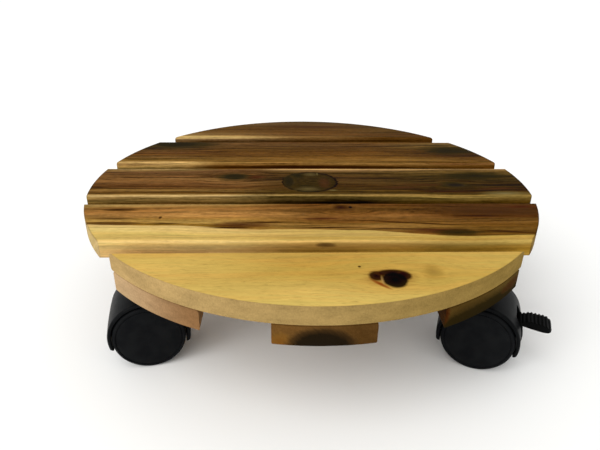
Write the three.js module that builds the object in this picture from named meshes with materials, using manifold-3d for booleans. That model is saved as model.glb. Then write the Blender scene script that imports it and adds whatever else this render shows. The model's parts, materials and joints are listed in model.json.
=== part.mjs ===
// Round slatted plant pot caddy on four twin-wheel swivel castors, two of them with a brake.
// Millimetres, +Z up. The origin is on the floor under the middle of the deck.
// X runs along the deck slats. Y runs across them, from the front (-Y) to the back (+Y).

import * as THREE from "three";
import { mergeVertices } from "three/addons/utils/BufferGeometryUtils.js";
import Module from "manifold-3d";

const wasm = await Module();
wasm.setup();

// ---- Driving dimensions ----

// Deck: parallel slats screwed onto cross battens, all cut to one circle
const DECK_RADIUS = 175;
const DECK_HEIGHT = 95;
const DECK_SEGMENTS = 72;
const CUT_CHAMFER = 0.8;
const SLAT_COUNT = 5;
const SLAT_GAP = 13.75;
const SLAT_THICKNESS = 13;
const SLAT_EDGE_RADIUS = 2.5;
const BATTEN_SIDES = [-1, 0, 1];
const BATTEN_PITCH = 100;
const BATTEN_THICKNESS = 14;
const BATTEN_EDGE_RADIUS = 1.5;

// Castor: mounting plate, kingpin, hood, axle and two wheels. Each stands under an outer batten.
const CASTOR_Y = 90;
const CASTOR_TRAIL = 19;
const WHEEL_RADIUS = 25;
const WHEEL_WIDTH = 17;
const WHEEL_SEGMENTS = 24;
const WEB_THICKNESS = 9.4;
const WEB_CLEARANCE = 0.6;
const HOOD_WIDTH = 42;
const HOOD_INNER_RADIUS = 25.9;
const HOOD_OUTER_RADIUS = 28.4;
const HOOD_STEPS = 16;
const NECK_RADIUS = 10;
const NECK_TOP_RADIUS = 9;
const NECK_SEGMENTS = 16;
const NECK_GAP = 0.7;
const PLATE_SIZE = 38;
const PLATE_THICKNESS = 2;
const PLATE_CORNER = 4;
const PLATE_HOLE_SPACING = 29;
const KINGPIN_RADIUS = 4;
const KINGPIN_DEPTH = 20;
const AXLE_RADIUS = 3;
const AXLE_LENGTH = 37;

// Brake: a pedal and shoe in one, which rocks on a cross pin and presses both wheel treads
const BRAKE_WIDTH = 14;
const BRAKE_ARM_WIDTH = 6;
const BRAKE_PIN = { x: 19.8, z: 2.8 };
const BRAKE_PIN_RADIUS = 1.5;
const BRAKE_HUB_RADIUS = 3.4;
const BRAKE_HUB_SEGMENTS = 12;
const ARM_ANGLES = { low: -6, high: 16 };
const SHOE_INNER_RADIUS = 26.9;
const SHOE_OUTER_RADIUS = 29.3;
const SHOE_ANGLES = { low: -9, high: 25 };
const SHOE_STEPS = 5;
const PEDAL_ROOT = { x: 26.5, z: 9.2 };
const PEDAL_REACH = 46.5;
const PEDAL_HOLLOW = 3.6;
const PEDAL_THICKNESS = 5.2;
const PEDAL_HEEL_SHARE = 0.45;
const PEDAL_TOE_SHARE = 0.2;
const PEDAL_CORNER = 4;
const PEDAL_RIBS = 8;
const PEDAL_RIB_HEIGHT = 0.8;

// Fasteners and fits
const SCREW_RADIUS = 2;
const SCREW_SEGMENTS = 8;
const GAP = 0.3;

// Worked-out sizes
const SLAT_WIDTH = (2 * DECK_RADIUS - (SLAT_COUNT - 1) * SLAT_GAP) / SLAT_COUNT;
const SLAT_PITCH = SLAT_WIDTH + SLAT_GAP;
const SLAT_BASE = DECK_HEIGHT - SLAT_THICKNESS;
const BATTEN_BASE = SLAT_BASE - BATTEN_THICKNESS;
const BATTEN_WIDTH = SLAT_WIDTH;
const PLATE_BASE = BATTEN_BASE - PLATE_THICKNESS;
const NECK_TOP = PLATE_BASE - NECK_GAP;
// Each wheel stands on one of its flat facets, so that the axle is a little under a radius up.
const AXLE_HEIGHT = WHEEL_RADIUS * Math.cos(Math.PI / WHEEL_SEGMENTS);
const WHEEL_INNER_FACE = WEB_THICKNESS / 2 + WEB_CLEARANCE;

// Swivel heading of each castor at rest, in degrees from +X to the direction that its wheels trail.
// The two front castors are screwed on a little off the line, by hand.
const CASTORS = [
  { name: "front_left", x: -BATTEN_PITCH, y: 2.5 - CASTOR_Y, heading: 191, braked: false },
  { name: "front_right", x: BATTEN_PITCH + 1, y: -2 - CASTOR_Y, heading: -22, braked: true },
  { name: "rear_left", x: -BATTEN_PITCH, y: CASTOR_Y, heading: 160, braked: true },
  { name: "rear_right", x: BATTEN_PITCH, y: CASTOR_Y, heading: 22, braked: false },
];

// ---- Materials ----

const finish = (color, roughness, metalness = 0) =>
  new THREE.MeshStandardMaterial({ color, roughness, metalness });

const PALE_WOOD = finish(0xc99b4e, 0.45);
const STREAKED_WOOD = finish(0xa87638, 0.45);
const DARK_WOOD = finish(0x7a4c24, 0.45);
const BATTEN_WOOD = finish(0xa9794f, 0.6);
const BLACK_PLASTIC = finish(0x17181a, 0.4);
const ZINC_STEEL = finish(0x9a9c9e, 0.35, 0.9);

// ---- Solids ----

const radians = THREE.MathUtils.degToRad;

function solid(geometry) {
  geometry.deleteAttribute("normal");
  geometry.deleteAttribute("uv");
  const welded = mergeVertices(geometry);
  return new wasm.Manifold(
    new wasm.Mesh({
      numProp: 3,
      vertProperties: new Float32Array(welded.getAttribute("position").array),
      triVerts: new Uint32Array(welded.getIndex().array),
    }),
  );
}

function part(name, shape, material) {
  const { vertProperties, triVerts } = shape.getMesh();
  const geometry = new THREE.BufferGeometry();
  geometry.setAttribute("position", new THREE.BufferAttribute(vertProperties, 3));
  geometry.setIndex(new THREE.BufferAttribute(triVerts, 1));
  geometry.computeVertexNormals();
  const mesh = new THREE.Mesh(geometry, material);
  mesh.name = name;
  return mesh;
}

// An outline in the XZ plane, made thick along Y and centred on y = 0
function slab(outline, width, curveSegments = 6) {
  const geometry = new THREE.ExtrudeGeometry(outline, { depth: width, bevelEnabled: false, curveSegments });
  geometry.translate(0, 0, -width / 2);
  geometry.rotateX(Math.PI / 2);
  return solid(geometry);
}

// An outline in the XY plane, made thick upwards from z = base
function sheet(outline, base, thickness, curveSegments = 3) {
  const geometry = new THREE.ExtrudeGeometry(outline, { depth: thickness, bevelEnabled: false, curveSegments });
  geometry.translate(0, 0, base);
  return solid(geometry);
}

// A turned piece about Z, from [radius, height] pairs that start and end on the axis
function turned(profile, segments) {
  const points = profile.map(([radius, height]) => new THREE.Vector2(radius, height));
  const geometry = new THREE.LatheGeometry(points, segments);
  geometry.rotateX(Math.PI / 2);
  return solid(geometry);
}

// A round bar along Y, centred on y = 0, with its axis through (x, z)
function crossBar(radius, length, segments, x = 0, z = 0) {
  const geometry = new THREE.CylinderGeometry(radius, radius, length, segments);
  geometry.translate(x, 0, z);
  return solid(geometry);
}

const polar = (radius, degrees) =>
  new THREE.Vector2(radius * Math.cos(radians(degrees)), radius * Math.sin(radians(degrees)));

function arcPoints(radius, fromDegrees, toDegrees, steps) {
  const step = (toDegrees - fromDegrees) / steps;
  return Array.from({ length: steps + 1 }, (_, i) => polar(radius, fromDegrees + i * step));
}

function ringSector(innerRadius, outerRadius, fromDegrees, toDegrees, steps = 6) {
  return new THREE.Shape([
    ...arcPoints(outerRadius, fromDegrees, toDegrees, steps),
    ...arcPoints(innerRadius, toDegrees, fromDegrees, steps),
  ]);
}

function roundedRectangle(width, height, radius, low = -height / 2) {
  const x = width / 2 - radius;
  const bottom = low + radius;
  const top = low + height - radius;
  const outline = new THREE.Shape();
  outline.absarc(x, bottom, radius, -Math.PI / 2, 0);
  outline.absarc(x, top, radius, 0, Math.PI / 2);
  outline.absarc(-x, top, radius, Math.PI / 2, Math.PI);
  outline.absarc(-x, bottom, radius, Math.PI, 1.5 * Math.PI);
  return outline;
}

// ---- Deck ----

// The disc that the slats or the battens are cut to, with its rims slightly broken
function deckDisc(base, thickness) {
  const top = base + thickness;
  return turned(
    [
      [0, base],
      [DECK_RADIUS - CUT_CHAMFER, base],
      [DECK_RADIUS, base + CUT_CHAMFER],
      [DECK_RADIUS, top - CUT_CHAMFER],
      [DECK_RADIUS - CUT_CHAMFER, top],
      [0, top],
    ],
    DECK_SEGMENTS,
  );
}

// A board along Y with rounded long edges, standing on z = base
function board(width, thickness, edgeRadius, base) {
  return slab(roundedRectangle(width, thickness, edgeRadius, base), 2 * DECK_RADIUS + 2, 2);
}

const slatCentre = (index) => (index - (SLAT_COUNT - 1) / 2) * SLAT_PITCH;

// Countersunk screws from below, where the end slats and the middle slat cross the battens.
// An end slat is short where it crosses an outer batten, so its screw stands nearer the middle.
const END_SLAT_SCREW = { x: 95, y: 127 };
const SLAT_SCREWS = [-1, 1].flatMap((side) => [
  [-END_SLAT_SCREW.x, side * END_SLAT_SCREW.y],
  [0, side * slatCentre(SLAT_COUNT - 1)],
  [END_SLAT_SCREW.x, side * END_SLAT_SCREW.y],
  [side * BATTEN_PITCH, 0],
]);
const SLAT_SCREW_LENGTH = 22;
const SLAT_SCREW_HEAD_RADIUS = 4;
const SLAT_SCREW_HEAD_HEIGHT = 2.4;
const POINT_LENGTH = 3;

const slatScrew = () =>
  turned(
    [
      [0, GAP],
      [SLAT_SCREW_HEAD_RADIUS, GAP],
      [SCREW_RADIUS, GAP + SLAT_SCREW_HEAD_HEIGHT],
      [SCREW_RADIUS, SLAT_SCREW_LENGTH - POINT_LENGTH],
      [0, SLAT_SCREW_LENGTH],
    ],
    SCREW_SEGMENTS,
  );

const slatScrewHole = () =>
  turned(
    [
      [0, -1],
      [SLAT_SCREW_HEAD_RADIUS + GAP, -1],
      [SLAT_SCREW_HEAD_RADIUS + GAP, GAP],
      [SCREW_RADIUS + GAP, 2 * GAP + SLAT_SCREW_HEAD_HEIGHT],
      [SCREW_RADIUS + GAP, SLAT_SCREW_LENGTH - POINT_LENGTH],
      [0, SLAT_SCREW_LENGTH + 2 * GAP],
    ],
    SCREW_SEGMENTS,
  );

// Pan-head screws that hold a castor plate up against its batten
const PLATE_SCREWS = [-1, 1].flatMap((a) =>
  [-1, 1].map((b) => [(a * PLATE_HOLE_SPACING) / 2, (b * PLATE_HOLE_SPACING) / 2]),
);
const PLATE_SCREW_LENGTH = 14;
const PLATE_SCREW_HEAD_RADIUS = 3.6;
const PLATE_SCREW_HEAD_HEIGHT = 2.2;

const plateScrew = () =>
  turned(
    [
      [0, -PLATE_SCREW_HEAD_HEIGHT],
      [0.7 * PLATE_SCREW_HEAD_RADIUS, -PLATE_SCREW_HEAD_HEIGHT],
      [PLATE_SCREW_HEAD_RADIUS, 0],
      [SCREW_RADIUS, 0],
      [SCREW_RADIUS, PLATE_SCREW_LENGTH - POINT_LENGTH],
      [0, PLATE_SCREW_LENGTH],
    ],
    SCREW_SEGMENTS,
  );

const plateScrewHole = () =>
  turned(
    [
      [0, -1],
      [SCREW_RADIUS + GAP, -1],
      [SCREW_RADIUS + GAP, PLATE_SCREW_LENGTH - POINT_LENGTH],
      [0, PLATE_SCREW_LENGTH + 2 * GAP],
    ],
    SCREW_SEGMENTS,
  );

// Every screw hole in the deck, as one solid to cut the boards with
function deckHoles() {
  const slatHoles = SLAT_SCREWS.map(([x, y]) => slatScrewHole().translate([x, y, BATTEN_BASE]));
  const plateHoles = CASTORS.flatMap((castor) =>
    PLATE_SCREWS.map(([x, y]) => plateScrewHole().translate([castor.x + x, castor.y + y, PLATE_BASE])),
  );
  return wasm.Manifold.union([...slatHoles, ...plateHoles]);
}

function deck() {
  const group = new THREE.Group();
  const holes = deckHoles();
  const slatDisc = deckDisc(SLAT_BASE, SLAT_THICKNESS);
  const battenDisc = deckDisc(BATTEN_BASE, BATTEN_THICKNESS);
  const slatWood = [PALE_WOOD, STREAKED_WOOD, DARK_WOOD, DARK_WOOD, DARK_WOOD];
  for (let i = 0; i < SLAT_COUNT; i += 1) {
    const lengthways = board(SLAT_WIDTH, SLAT_THICKNESS, SLAT_EDGE_RADIUS, SLAT_BASE).rotate([0, 0, 90]);
    const slat = lengthways.translate([0, slatCentre(i), 0]).intersect(slatDisc).subtract(holes);
    group.add(part(`deck_slat_${i + 1}`, slat, slatWood[i]));
  }
  const battenNames = ["left_batten", "centre_batten", "right_batten"];
  BATTEN_SIDES.forEach((side, i) => {
    const crossways = board(BATTEN_WIDTH, BATTEN_THICKNESS, BATTEN_EDGE_RADIUS, BATTEN_BASE);
    const batten = crossways.translate([side * BATTEN_PITCH, 0, 0]).intersect(battenDisc).subtract(holes);
    group.add(part(battenNames[i], batten, BATTEN_WOOD));
  });
  SLAT_SCREWS.forEach(([x, y], i) => {
    const screw = part(`slat_screw_${i + 1}`, slatScrew(), ZINC_STEEL);
    screw.position.set(x, y, BATTEN_BASE);
    group.add(screw);
  });
  return group;
}

// ---- Castor, in its own frame: swivel axis on Z, wheels trailing towards +X ----

// The steel plate under the batten, with a hole for the kingpin and four for its screws
function mountingPlate() {
  const outline = roundedRectangle(PLATE_SIZE, PLATE_SIZE, PLATE_CORNER);
  const blank = sheet(outline, PLATE_BASE, PLATE_THICKNESS, 1);
  const screwHoles = PLATE_SCREWS.map(([x, y]) => plateScrewHole().translate([x, y, PLATE_BASE]));
  const pinHole = turned(
    [
      [0, PLATE_BASE - 1],
      [KINGPIN_RADIUS + GAP, PLATE_BASE - 1],
      [KINGPIN_RADIUS + GAP, BATTEN_BASE + 1],
      [0, BATTEN_BASE + 1],
    ],
    NECK_SEGMENTS,
  );
  return blank.subtract(wasm.Manifold.union([...screwHoles, pinHole]));
}

// The pin that the hood turns on, fixed in the plate
function kingpin() {
  const low = BATTEN_BASE - KINGPIN_DEPTH;
  return turned(
    [
      [0, low],
      [0.75 * KINGPIN_RADIUS, low],
      [KINGPIN_RADIUS, low + 1],
      [KINGPIN_RADIUS, BATTEN_BASE],
      [0, BATTEN_BASE],
    ],
    NECK_SEGMENTS,
  );
}

// The hood's side outline about the axle: it wraps over both wheels, ends in a blunt tip in front
// and behind, and closes straight across below the axle, which is the foot of the web.
const TRAILING_TIP = -18;
const LEADING_TIP = 197;
const TIP_TAPER = 5;
const TIP_RADIUS = 27.2;

function hoodOutline() {
  const arc = arcPoints(HOOD_OUTER_RADIUS, TRAILING_TIP + TIP_TAPER, LEADING_TIP - TIP_TAPER, HOOD_STEPS);
  return new THREE.Shape([polar(TIP_RADIUS, TRAILING_TIP), ...arc, polar(TIP_RADIUS, LEADING_TIP)]);
}

// The two spaces that the wheels turn in, one each side of the web
function wheelSpaces() {
  const width = HOOD_WIDTH;
  const space = crossBar(HOOD_INNER_RADIUS, width, 2 * HOOD_STEPS);
  const shift = (WEB_THICKNESS + width) / 2;
  return space.translate([0, shift, 0]).add(space.translate([0, -shift, 0]));
}

// The round neck that holds the kingpin. Its foot runs to a cone inside the hood.
const NECK_FOOT = AXLE_HEIGHT + 8;
const NECK_SHOULDER = AXLE_HEIGHT + 17;

function neck() {
  const profile = [
    [0, NECK_FOOT],
    [0.75 * NECK_RADIUS, NECK_FOOT],
    [NECK_RADIUS, NECK_SHOULDER],
    [NECK_TOP_RADIUS, NECK_TOP],
    [0, NECK_TOP],
  ];
  return turned(profile, NECK_SEGMENTS).translate([-CASTOR_TRAIL, 0, -AXLE_HEIGHT]);
}

function kingpinBore() {
  const bottom = BATTEN_BASE - KINGPIN_DEPTH - 2 * GAP;
  const profile = [
    [0, bottom],
    [KINGPIN_RADIUS + GAP, bottom],
    [KINGPIN_RADIUS + GAP, NECK_TOP + 1],
    [0, NECK_TOP + 1],
  ];
  return turned(profile, NECK_SEGMENTS).translate([-CASTOR_TRAIL, 0, -AXLE_HEIGHT]);
}

// Room for the brake: a notch through the hood's trailing side, and a pocket in the web
const NOTCH = { low: -60, high: 36, innerRadius: 23.9, outerRadius: 34 };
const POCKET_INNER_RADIUS = 14.5;

function brakeRoom() {
  const notch = ringSector(NOTCH.innerRadius, NOTCH.outerRadius, NOTCH.low, NOTCH.high);
  const pocket = ringSector(POCKET_INNER_RADIUS, NOTCH.outerRadius, NOTCH.low, NOTCH.high);
  return slab(notch, BRAKE_WIDTH + 5 * GAP)
    .add(slab(pocket, BRAKE_ARM_WIDTH + 2 * GAP))
    .add(crossBar(BRAKE_PIN_RADIUS + GAP, 2 * WEB_THICKNESS, SCREW_SEGMENTS, BRAKE_PIN.x, BRAKE_PIN.z));
}

function hood(braked) {
  let shell = slab(hoodOutline(), HOOD_WIDTH).add(neck());
  shell = shell.subtract(wheelSpaces()).subtract(kingpinBore());
  shell = shell.subtract(crossBar(AXLE_RADIUS + GAP, 2 * WEB_THICKNESS, NECK_SEGMENTS));
  return braked ? shell.subtract(brakeRoom()) : shell;
}

// A wheel with a blind bore and an open recess on its inner side, and a plain outer face
const WHEEL_BORE_DEPTH = 14;
const WHEEL_HUB_RADIUS = 7;
const WHEEL_RIM_RADIUS = 21.5;
const WHEEL_RECESS_DEPTH = 10;
const WHEEL_FACE_BEVEL = 2;

function wheel() {
  const bore = AXLE_RADIUS + GAP;
  const profile = [
    [0, WHEEL_BORE_DEPTH],
    [bore, WHEEL_BORE_DEPTH],
    [bore, 0],
    [WHEEL_HUB_RADIUS, 0],
    [WHEEL_HUB_RADIUS, WHEEL_RECESS_DEPTH],
    [WHEEL_RIM_RADIUS, WHEEL_RECESS_DEPTH],
    [WHEEL_RIM_RADIUS, 0],
    [WHEEL_RADIUS, 0],
    [WHEEL_RADIUS, WHEEL_WIDTH - WHEEL_FACE_BEVEL],
    [WHEEL_RADIUS - WHEEL_FACE_BEVEL, WHEEL_WIDTH],
    [0, WHEEL_WIDTH],
  ];
  const points = profile.map(([radius, width]) => new THREE.Vector2(radius, width));
  const halfFacet = Math.PI / WHEEL_SEGMENTS;
  const geometry = new THREE.LatheGeometry(points, WHEEL_SEGMENTS, halfFacet);
  return solid(geometry).translate([0, WHEEL_INNER_FACE, 0]);
}

// ---- Brake lever, in the castor's frame about the axle ----

// The pedal runs from t = 0 at the hood to t = 1 at its far edge. Its underside is a little hollow.
// It soon gets thicker from the hood on, and falls away to a thin far edge.
const pedalBottom = (t) => PEDAL_ROOT.z - PEDAL_HOLLOW * t * (1 - t);

function pedalDepth(t) {
  const heel = PEDAL_HEEL_SHARE + (1 - PEDAL_HEEL_SHARE) * Math.min(1, 4 * t);
  const toe = 1 - (1 - PEDAL_TOE_SHARE) * t ** 6;
  return PEDAL_THICKNESS * heel * toe;
}

function pedalPoint(t, height) {
  return new THREE.Vector2(PEDAL_ROOT.x + t * (PEDAL_REACH - PEDAL_ROOT.x), pedalBottom(t) + height);
}

// The pedal from the side, with ribs across its top
function pedalOutline() {
  const outline = [0, 0.25, 0.5, 0.75, 1].map((t) => pedalPoint(t, 0));
  for (let rib = PEDAL_RIBS - 1; rib >= 0; rib -= 1) {
    const valley = (rib + 1) / PEDAL_RIBS;
    const crest = (rib + 0.6) / PEDAL_RIBS;
    outline.push(pedalPoint(valley, pedalDepth(valley)));
    outline.push(pedalPoint(crest, pedalDepth(crest) + PEDAL_RIB_HEIGHT));
  }
  outline.push(pedalPoint(0, pedalDepth(0)));
  return new THREE.Shape(outline);
}

// The pedal from above: square at the hood, with its two far corners rounded off
function pedalPlan() {
  const middle = PEDAL_REACH - PEDAL_CORNER;
  const side = BRAKE_WIDTH / 2;
  const outline = new THREE.Shape();
  outline.moveTo(0, -side);
  outline.absarc(middle, PEDAL_CORNER - side, PEDAL_CORNER, -Math.PI / 2, 0);
  outline.absarc(middle, side - PEDAL_CORNER, PEDAL_CORNER, 0, Math.PI / 2);
  outline.lineTo(0, side);
  return outline;
}

function brakeLever() {
  const arm = new THREE.Shape([
    new THREE.Vector2(BRAKE_PIN.x, BRAKE_PIN.z - BRAKE_HUB_RADIUS),
    polar(SHOE_INNER_RADIUS + 1, ARM_ANGLES.low),
    polar(SHOE_INNER_RADIUS + 1, ARM_ANGLES.high),
    new THREE.Vector2(BRAKE_PIN.x, BRAKE_PIN.z + BRAKE_HUB_RADIUS),
  ]);
  const { low, high } = SHOE_ANGLES;
  const shoe = ringSector(SHOE_INNER_RADIUS, SHOE_OUTER_RADIUS, low, high, SHOE_STEPS);
  const plan = sheet(pedalPlan(), 0, 2 * WHEEL_RADIUS, 2);
  return slab(shoe, BRAKE_WIDTH)
    .add(slab(arm, BRAKE_ARM_WIDTH))
    .add(crossBar(BRAKE_HUB_RADIUS, BRAKE_ARM_WIDTH, BRAKE_HUB_SEGMENTS, BRAKE_PIN.x, BRAKE_PIN.z))
    .add(slab(pedalOutline(), BRAKE_WIDTH).intersect(plan))
    .subtract(crossBar(BRAKE_PIN_RADIUS + GAP, BRAKE_WIDTH, SCREW_SEGMENTS, BRAKE_PIN.x, BRAKE_PIN.z));
}

// ---- Assembly ----

// What stays with the deck: the plate, its screws and the kingpin
function castorFixture({ name, x, y }) {
  const group = new THREE.Group();
  group.position.set(x, y, 0);
  group.add(part(`${name}_castor_plate`, mountingPlate(), ZINC_STEEL));
  group.add(part(`${name}_kingpin`, kingpin(), ZINC_STEEL));
  PLATE_SCREWS.forEach(([screwX, screwY], i) => {
    const screw = part(`${name}_plate_screw_${i + 1}`, plateScrew(), ZINC_STEEL);
    screw.position.set(screwX, screwY, PLATE_BASE);
    group.add(screw);
  });
  return group;
}

// What swivels: the hood with its axle, both wheels, and the brake where there is one
function castorSwivel({ name, x, y, heading, braked }) {
  const swivel = new THREE.Group();
  swivel.position.set(x, y, 0);
  swivel.rotation.z = radians(heading);
  const aboutAxle = new THREE.Group();
  aboutAxle.position.set(CASTOR_TRAIL, 0, AXLE_HEIGHT);
  swivel.add(aboutAxle);
  aboutAxle.add(part(`${name}_castor_hood`, hood(braked), BLACK_PLASTIC));
  aboutAxle.add(part(`${name}_axle`, crossBar(AXLE_RADIUS, AXLE_LENGTH, NECK_SEGMENTS), ZINC_STEEL));
  for (const [side, turn] of [["a", 0], ["b", Math.PI]]) {
    const roller = part(`${name}_wheel_${side}`, wheel(), BLACK_PLASTIC);
    roller.rotation.z = turn;
    aboutAxle.add(roller);
  }
  if (braked) {
    const pin = crossBar(BRAKE_PIN_RADIUS, WEB_THICKNESS - GAP, SCREW_SEGMENTS, BRAKE_PIN.x, BRAKE_PIN.z);
    aboutAxle.add(part(`${name}_brake_lever`, brakeLever(), BLACK_PLASTIC));
    aboutAxle.add(part(`${name}_brake_pin`, pin, ZINC_STEEL));
  }
  return swivel;
}

const caddy = new THREE.Group();
caddy.add(deck());
for (const castor of CASTORS) {
  caddy.add(castorFixture(castor));
  caddy.add(castorSwivel(castor));
}

export default caddy;
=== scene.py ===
"""The looks of a round slatted plant pot caddy on twin-wheel castors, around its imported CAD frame.

X runs along the deck slats, Y across them from front to back, and Z up from the floor.
Sizes are in millimetres here, and a mesh is scaled to Blender's metres when it is made. Only the
camera, the lamps and the floor are placed in metres.
"""

import json
from collections import namedtuple
from math import asin, atan2, cos, degrees, pi, radians, sin, sqrt

import bmesh
import bpy
from mathutils import Matrix, Vector


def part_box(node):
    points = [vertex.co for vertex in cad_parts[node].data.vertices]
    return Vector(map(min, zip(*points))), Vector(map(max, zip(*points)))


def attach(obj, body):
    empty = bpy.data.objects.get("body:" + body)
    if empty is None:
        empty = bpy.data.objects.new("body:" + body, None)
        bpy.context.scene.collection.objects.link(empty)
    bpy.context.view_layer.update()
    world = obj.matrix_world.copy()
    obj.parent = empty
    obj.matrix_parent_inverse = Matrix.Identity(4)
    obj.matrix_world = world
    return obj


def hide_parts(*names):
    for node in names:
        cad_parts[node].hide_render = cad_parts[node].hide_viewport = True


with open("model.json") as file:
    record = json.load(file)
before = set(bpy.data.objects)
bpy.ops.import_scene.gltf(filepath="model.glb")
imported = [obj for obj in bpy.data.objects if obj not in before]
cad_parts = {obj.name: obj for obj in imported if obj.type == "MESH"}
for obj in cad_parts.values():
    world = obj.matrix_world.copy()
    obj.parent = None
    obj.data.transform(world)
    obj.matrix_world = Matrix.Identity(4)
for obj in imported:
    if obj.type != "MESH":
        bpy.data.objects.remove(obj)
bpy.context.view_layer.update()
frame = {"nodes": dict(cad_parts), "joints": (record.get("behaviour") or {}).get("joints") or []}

MM = 0.001

# ---- Sizes taken from the frame ----


def box_mm(node):
    """A CAD node's lowest and highest corners, in millimetres."""
    low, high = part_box(node)
    return low / MM, high / MM


SLAT_LOW, SLAT_HIGH = box_mm("deck_slat_3")
BATTEN_LOW, BATTEN_HIGH = box_mm("centre_batten")
DECK_RADIUS = SLAT_HIGH.x
SLAT_WIDTH = SLAT_HIGH.y - SLAT_LOW.y
SLAT_PITCH = box_mm("deck_slat_4")[0].y - SLAT_LOW.y
BATTEN_PITCH = box_mm("right_batten")[0].x - BATTEN_LOW.x
PLATE_LOW, PLATE_HIGH = box_mm("front_left_castor_plate")
JOINTS = {joint["name"]: joint for joint in frame["joints"]}
CASTORS = ("front_left", "front_right", "rear_left", "rear_right")
BRAKED = ("front_right", "rear_left")
AXLE_HEIGHT = JOINTS["front_left_wheel_a_spin"]["pos_m"][2] / MM

# ---- Driving sizes of what the frame doesn't say ----

SLAT_EDGE_RADIUS = 2.5
BATTEN_EDGE_RADIUS = 1.5
CUT_BREAK = 0.8
FACE_MARGIN = 1.5
ARC_STEP_DEGREES = 1.5
INNER_SCREW_SHARE = 0.82

HOOD_HALF_WIDTH = 21
HOOD_INNER_RADIUS = 25.5
HOOD_OUTER_RADIUS = 28.4
HOOD_CROWN = 0.5
HOOD_SHOULDER = 1.7
HOOD_TIPS = (-18, 197)
TIP_TAPER_DEGREES = 6
TIP_RADIUS = 26.4
TIP_NARROWING = 0.8
WEB_HALF_THICKNESS = 4.7
WEB_OVERLAP = 0.6
NECK_FOOT = 6
NECK_RADIUS = 10
NECK_FLARE = 1.6
NECK_FLARE_HEIGHT = 19
NECK_TOP_RADIUS = 9
NECK_TOP_BREAK = 0.6
NECK_GAP = 0.7
CASTOR_TRAIL = 19
KINGPIN_BORE = 4.3
KINGPIN_BORE_DEPTH = 20.6
AXLE_BORE = 3.3
NOTCH_ANGLES = (-60, 36)
NOTCH_RADII = (23.9, 34)
NOTCH_CLEARANCE = 0.75
POCKET_RADII = (14.5, 34)
POCKET_CLEARANCE = 0.3

WHEEL_WIDTH = 17
WHEEL_INNER_FACE = 5.3
WHEEL_HUB_RADIUS = 7
WHEEL_HOLLOW_RADIUS = 21.6
WHEEL_WALL = 7
WHEEL_GROOVE_DEPTH = 0.85

BRAKE_WIDTH = 14
BRAKE_ARM_WIDTH = 6
BRAKE_ARM_ANGLES = (-6, 16)
BRAKE_PIN = (19.8, 2.8)
BRAKE_PIN_RADIUS = 1.5
BRAKE_HUB_RADIUS = 3.4
SHOE_RADII = (26.9, 29.3)
SHOE_ANGLES = (-9, 25)
SHOE_LIP_ANGLE = -18
SHOE_LIP_RADIUS = 27.5
PEDAL_ROOT = (26.5, 9.2)
PEDAL_REACH = 46.5
PEDAL_HOLLOW = 3.6
PEDAL_DROOP = 0.9
PEDAL_THICKNESS = 5.2
PEDAL_ROOT_SHARE = 0.45
PEDAL_TIP_THINNING = 0.75
PEDAL_CORNER = 3.4
PEDAL_NARROWINGS = ((15, 1.5), (30, 1.2))
PEDAL_RIBS = 8
PEDAL_RIB_HEIGHT = 0.8

SLAT_SCREW_HEAD = (4, 2.4)
SLAT_SCREW_LENGTH = 22
PLATE_SCREW_HEAD = (3.6, 2.2)
PLATE_SCREW_LENGTH = 14
SCREW_RADIUS = 2
SCREW_POINT = (0.4, 4)
SCREW_SINK = 0.3
RECESS_HALF_WIDTH = 0.45
PLATE_CORNER = 4
PLATE_BREAK = 0.15
PLATE_ROLL = 0.5

# Edges sharper than these angles, in degrees, stay sharp in the shading
WOOD_SHARP_ANGLE = 38
STEEL_SHARP_ANGLE = 30
WHEEL_SHARP_ANGLE = 50
MOULDED_SHARP_ANGLE = 80


# ---- Camera, floor and light ----

CAMERA_PLACE = (-0.02314, -0.40622, 0.26112)
CAMERA_PITCH_DOWN = 0.4704
CAMERA_YAW = -0.0371
CAMERA_ROLL = 0.0135
CAMERA_LENS = 31.974
ROOM_BRIGHTNESS = 0.82
KEY_BRIGHTNESS = 1.5
KEY_SPREAD_DEGREES = 60
SOFTBOX_POWER = 2.5
FLOOR_HALF_SIZE = 12


def add_camera():
    """A camera in front of the caddy and above it, looking down at the deck."""
    pitch, yaw, roll = CAMERA_PITCH_DOWN, CAMERA_YAW, CAMERA_ROLL
    forward = Vector((-sin(yaw) * cos(pitch), cos(yaw) * cos(pitch), -sin(pitch)))
    level = Vector((cos(yaw), sin(yaw), 0))
    upright = level.cross(forward)
    right = level * cos(roll) + upright * sin(roll)
    up = upright * cos(roll) - level * sin(roll)
    data = bpy.data.cameras.new("camera")
    data.sensor_width = 36
    data.lens = CAMERA_LENS
    data.clip_start = 0.01
    camera = bpy.data.objects.new("camera", data)
    turn = Matrix((right, up, -forward)).transposed().to_4x4()
    camera.matrix_world = Matrix.Translation(CAMERA_PLACE) @ turn
    bpy.context.scene.collection.objects.link(camera)
    bpy.context.scene.camera = camera


def add_lamp(name, kind, energy, place, target, **settings):
    """A lamp at a place, in metres, that points at a target."""
    data = bpy.data.lights.new(name, kind)
    data.energy = energy
    for key, value in settings.items():
        setattr(data, key, value)
    lamp = bpy.data.objects.new(name, data)
    aim = Vector(target) - Vector(place)
    lamp.rotation_euler = aim.to_track_quat("-Z", "Y").to_euler()
    lamp.location = place
    bpy.context.scene.collection.objects.link(lamp)


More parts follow.
